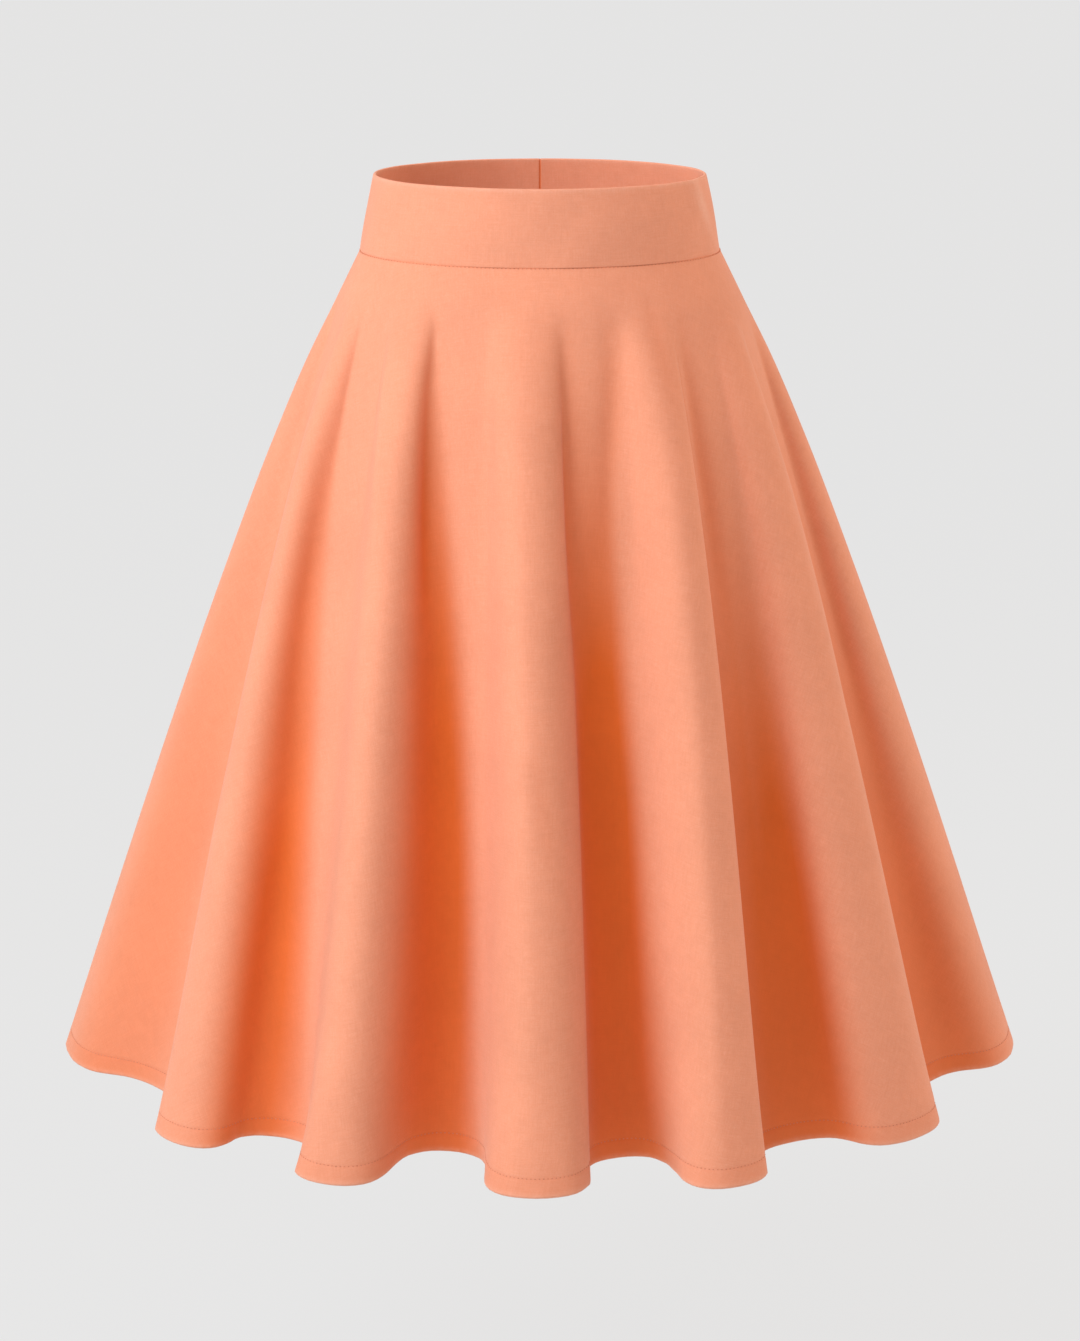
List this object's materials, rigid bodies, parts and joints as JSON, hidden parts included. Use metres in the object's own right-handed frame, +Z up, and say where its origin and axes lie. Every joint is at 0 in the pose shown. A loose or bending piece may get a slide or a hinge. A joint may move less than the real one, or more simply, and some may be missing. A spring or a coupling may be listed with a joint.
{
  "type": "a-line skirt",
  "caption": "A-line skirt filled out as if worn: a wide waistband over flared panels that fall in soft folds, hollow and open at waist and hem.",
  "frame": {"origin": "centre of the waistband's top rim, where the wearer's waist holds the skirt up", "axes": "+Z up towards the wearer's head, the front faces -Y, +X to the right of someone who looks at the front"},
  "size_m": [0.7576, 0.7135, 0.6923],
  "materials": {
    "skirt_cloth": "matt plain weave in peach orange, fine and smooth, with a faint soft sheen at grazing angles"
  },
  "bodies": {
    "root": {"waistband": "skirt_cloth", "front_panel": "skirt_cloth", "back_panel": "skirt_cloth"}
  },
  "joints": []
}
